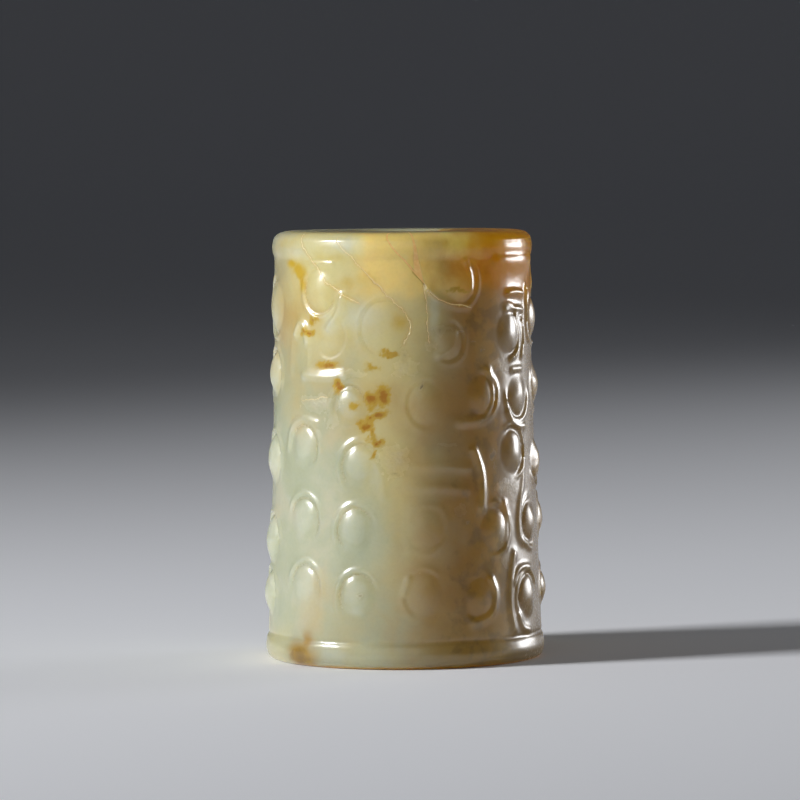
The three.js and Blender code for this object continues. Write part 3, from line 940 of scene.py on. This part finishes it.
def repair_resin():
    """Tinted repair resin, filled into the break and cut flush: a dull pinkish-brown line with fine
    bubbles, painted much paler and brighter than that as painted light, so that the thin line looks lit."""
    material, tree, shader, coordinates = new_material("repair_resin_painted_light")
    bubbles = add_node(
        tree, "ShaderNodeTexNoise", {"Vector": coordinates, "Scale": 1 / BUBBLE_SPAN, "Detail": 4}
    ).outputs["Fac"]
    # painted light: these colours are far paler than the resin's own, so that the thin line looks lit
    colour = add_node(
        tree,
        "ShaderNodeMix",
        {0: bubbles, 6: hex_colour("#f0b25c"), 7: hex_colour("#ffd990")},
        data_type="RGBA",
    ).outputs[2]
    tree.links.new(colour, shader.inputs["Base Color"])
    rough = add_node(
        tree,
        "ShaderNodeMapRange",
        {"Value": bubbles, "To Min": RESIN_ROUGHNESS[0], "To Max": RESIN_ROUGHNESS[1]},
    ).outputs[0]
    tree.links.new(rough, shader.inputs["Roughness"])
    bump = add_node(tree, "ShaderNodeBump", {"Strength": 1, "Distance": BUBBLE_DEPTH, "Height": bubbles})
    tree.links.new(bump.outputs[0], shader.inputs["Normal"])
    shader.inputs["IOR"].default_value = RESIN_IOR
    return material


def finish_piece(piece, material, node):
    """Gives a piece its finish and its place in the frame."""
    piece.data.materials.clear()
    piece.data.materials.append(material)
    piece.data.shade_smooth()
    piece.data.set_sharp_from_angle(angle=SHARP_ANGLE)
    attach(piece, "root")
    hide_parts(node)


def make_pendant():
    """The tube, its chip and the resin, all cut from one carved shape at the breaks."""
    tube = turned_tube()
    carve(tube)
    half = BREAK_BOND / 2
    chip = copy_of(tube, "jade_rim_chip")
    bond = copy_of(tube, "chip_bond_line")
    cut_piece(tube, "DIFFERENCE", chip_wedge(-half, CHIP_TIP, CHIP_DROP))
    cut_piece(chip, "INTERSECT", chip_wedge(half, STONE_TIP, STONE_DROP))
    cut_piece(bond, "INTERSECT", chip_wedge(BOND_CLEARANCE - half, CHIP_TIP, CHIP_DROP))
    cut_piece(bond, "DIFFERENCE", chip_wedge(half - BOND_CLEARANCE, STONE_TIP, STONE_DROP))
    nephrite = polished_nephrite()
    stones = (
        (tube, 0, "jade_tube", "jade"),
        (chip, CHIP_AMBER, "rim_chip", "stained_jade"),
    )
    for stone, least_amber, node, slot in stones:
        keep_stains_light_and_shade(stone, least_amber)
        finish_piece(stone, nephrite, node)
    finish_piece(bond, repair_resin(), "chip_bond")


def make_stage():
    """A pale floor that sweeps up into its backdrop."""
    shape = bmesh.new()
    turns = [math.pi / 2 * step / SWEEP_STEPS for step in range(SWEEP_STEPS + 1)]
    bend = SWEEP_BACK - SWEEP_RADIUS
    line = [(-FLOOR_HALF, 0)]
    line += [(bend + SWEEP_RADIUS * math.sin(turn), SWEEP_RADIUS * (1 - math.cos(turn))) for turn in turns]
    line.append((SWEEP_BACK, SWEEP_TOP))
    corners = [shape.verts.new((-FLOOR_HALF, y, z)) for y, z in line]
    edges = [shape.edges.new(pair) for pair in zip(corners, corners[1:])]
    swept = bmesh.ops.extrude_edge_only(shape, edges=edges)["geom"]
    made = [item for item in swept if isinstance(item, bmesh.types.BMVert)]
    bmesh.ops.translate(shape, verts=made, vec=(2 * FLOOR_HALF, 0, 0))
    bmesh.ops.recalc_face_normals(shape, faces=shape.faces)
    floor = new_piece("studio_sweep", shape)
    floor.data.shade_smooth()
    material, _, shader, _ = new_material("matt_paper_sweep")
    shader.inputs["Base Color"].default_value = hex_colour("#f2f4fa")
    shader.inputs["Roughness"].default_value = 0.9
    floor.data.materials.append(material)


def add_softbox(name, azimuth, elevation, distance, size, watts, spread=180):
    """A rectangular lamp that faces the middle of the tube from an azimuth and an elevation, with a grid
    that may narrow its spread. Angles are in degrees, and the azimuth is round from the front."""
    lamp = bpy.data.lights.new(name, "AREA")
    lamp.shape = "RECTANGLE"
    lamp.size, lamp.size_y = size
    lamp.energy = watts
    lamp.spread = math.radians(spread)
    holder = bpy.data.objects.new(name, lamp)
    bpy.context.scene.collection.objects.link(holder)
    rise = math.radians(elevation)
    target = Vector((0, 0, TUBE_HEIGHT / 2))
    away = on_tube(math.cos(rise), math.radians(azimuth), math.sin(rise))
    holder.location = target + away * distance
    holder.rotation_euler = away.to_track_quat("Z", "Y").to_euler()


def make_light():
    """Key light from the left, a wide fill in front, a low lamp behind the right edge, and a dim room."""
    add_softbox(
        "key_softbox", azimuth=-70, elevation=25, distance=1, size=(0.2, 0.16), watts=0.74, spread=48
    )
    add_softbox("front_fill", azimuth=-12, elevation=14, distance=1, size=(0.9, 0.56), watts=0.76)
    add_softbox("edge_softbox", azimuth=118, elevation=5, distance=0.6, size=(0.26, 0.12), watts=1.55)
    world = bpy.data.worlds.new("studio")
    world.use_nodes = True
    background = world.node_tree.nodes["Background"]
    background.inputs["Color"].default_value = hex_colour("#d5d7dc")
    background.inputs["Strength"].default_value = 0.06
    bpy.context.scene.world = world


def make_camera():
    """The camera at the photograph's viewing angle."""
    lens = bpy.data.cameras.new("camera")
    lens.sensor_width = SENSOR_WIDTH
    lens.lens = FOCAL_PIXELS / PHOTO_SIDE * SENSOR_WIDTH
    camera = bpy.data.objects.new("camera", lens)
    bpy.context.scene.collection.objects.link(camera)
    level = Matrix.Rotation(math.pi / 2 + CAMERA_PITCH, 4, "X")
    camera.matrix_world = Matrix.Translation(CAMERA_PLACE) @ level @ Matrix.Rotation(CAMERA_ROLL, 4, "Z")
    bpy.context.scene.camera = camera


make_camera()
make_pendant()
make_stage()
make_light()
bpy.context.scene.view_settings.view_transform = "Standard"
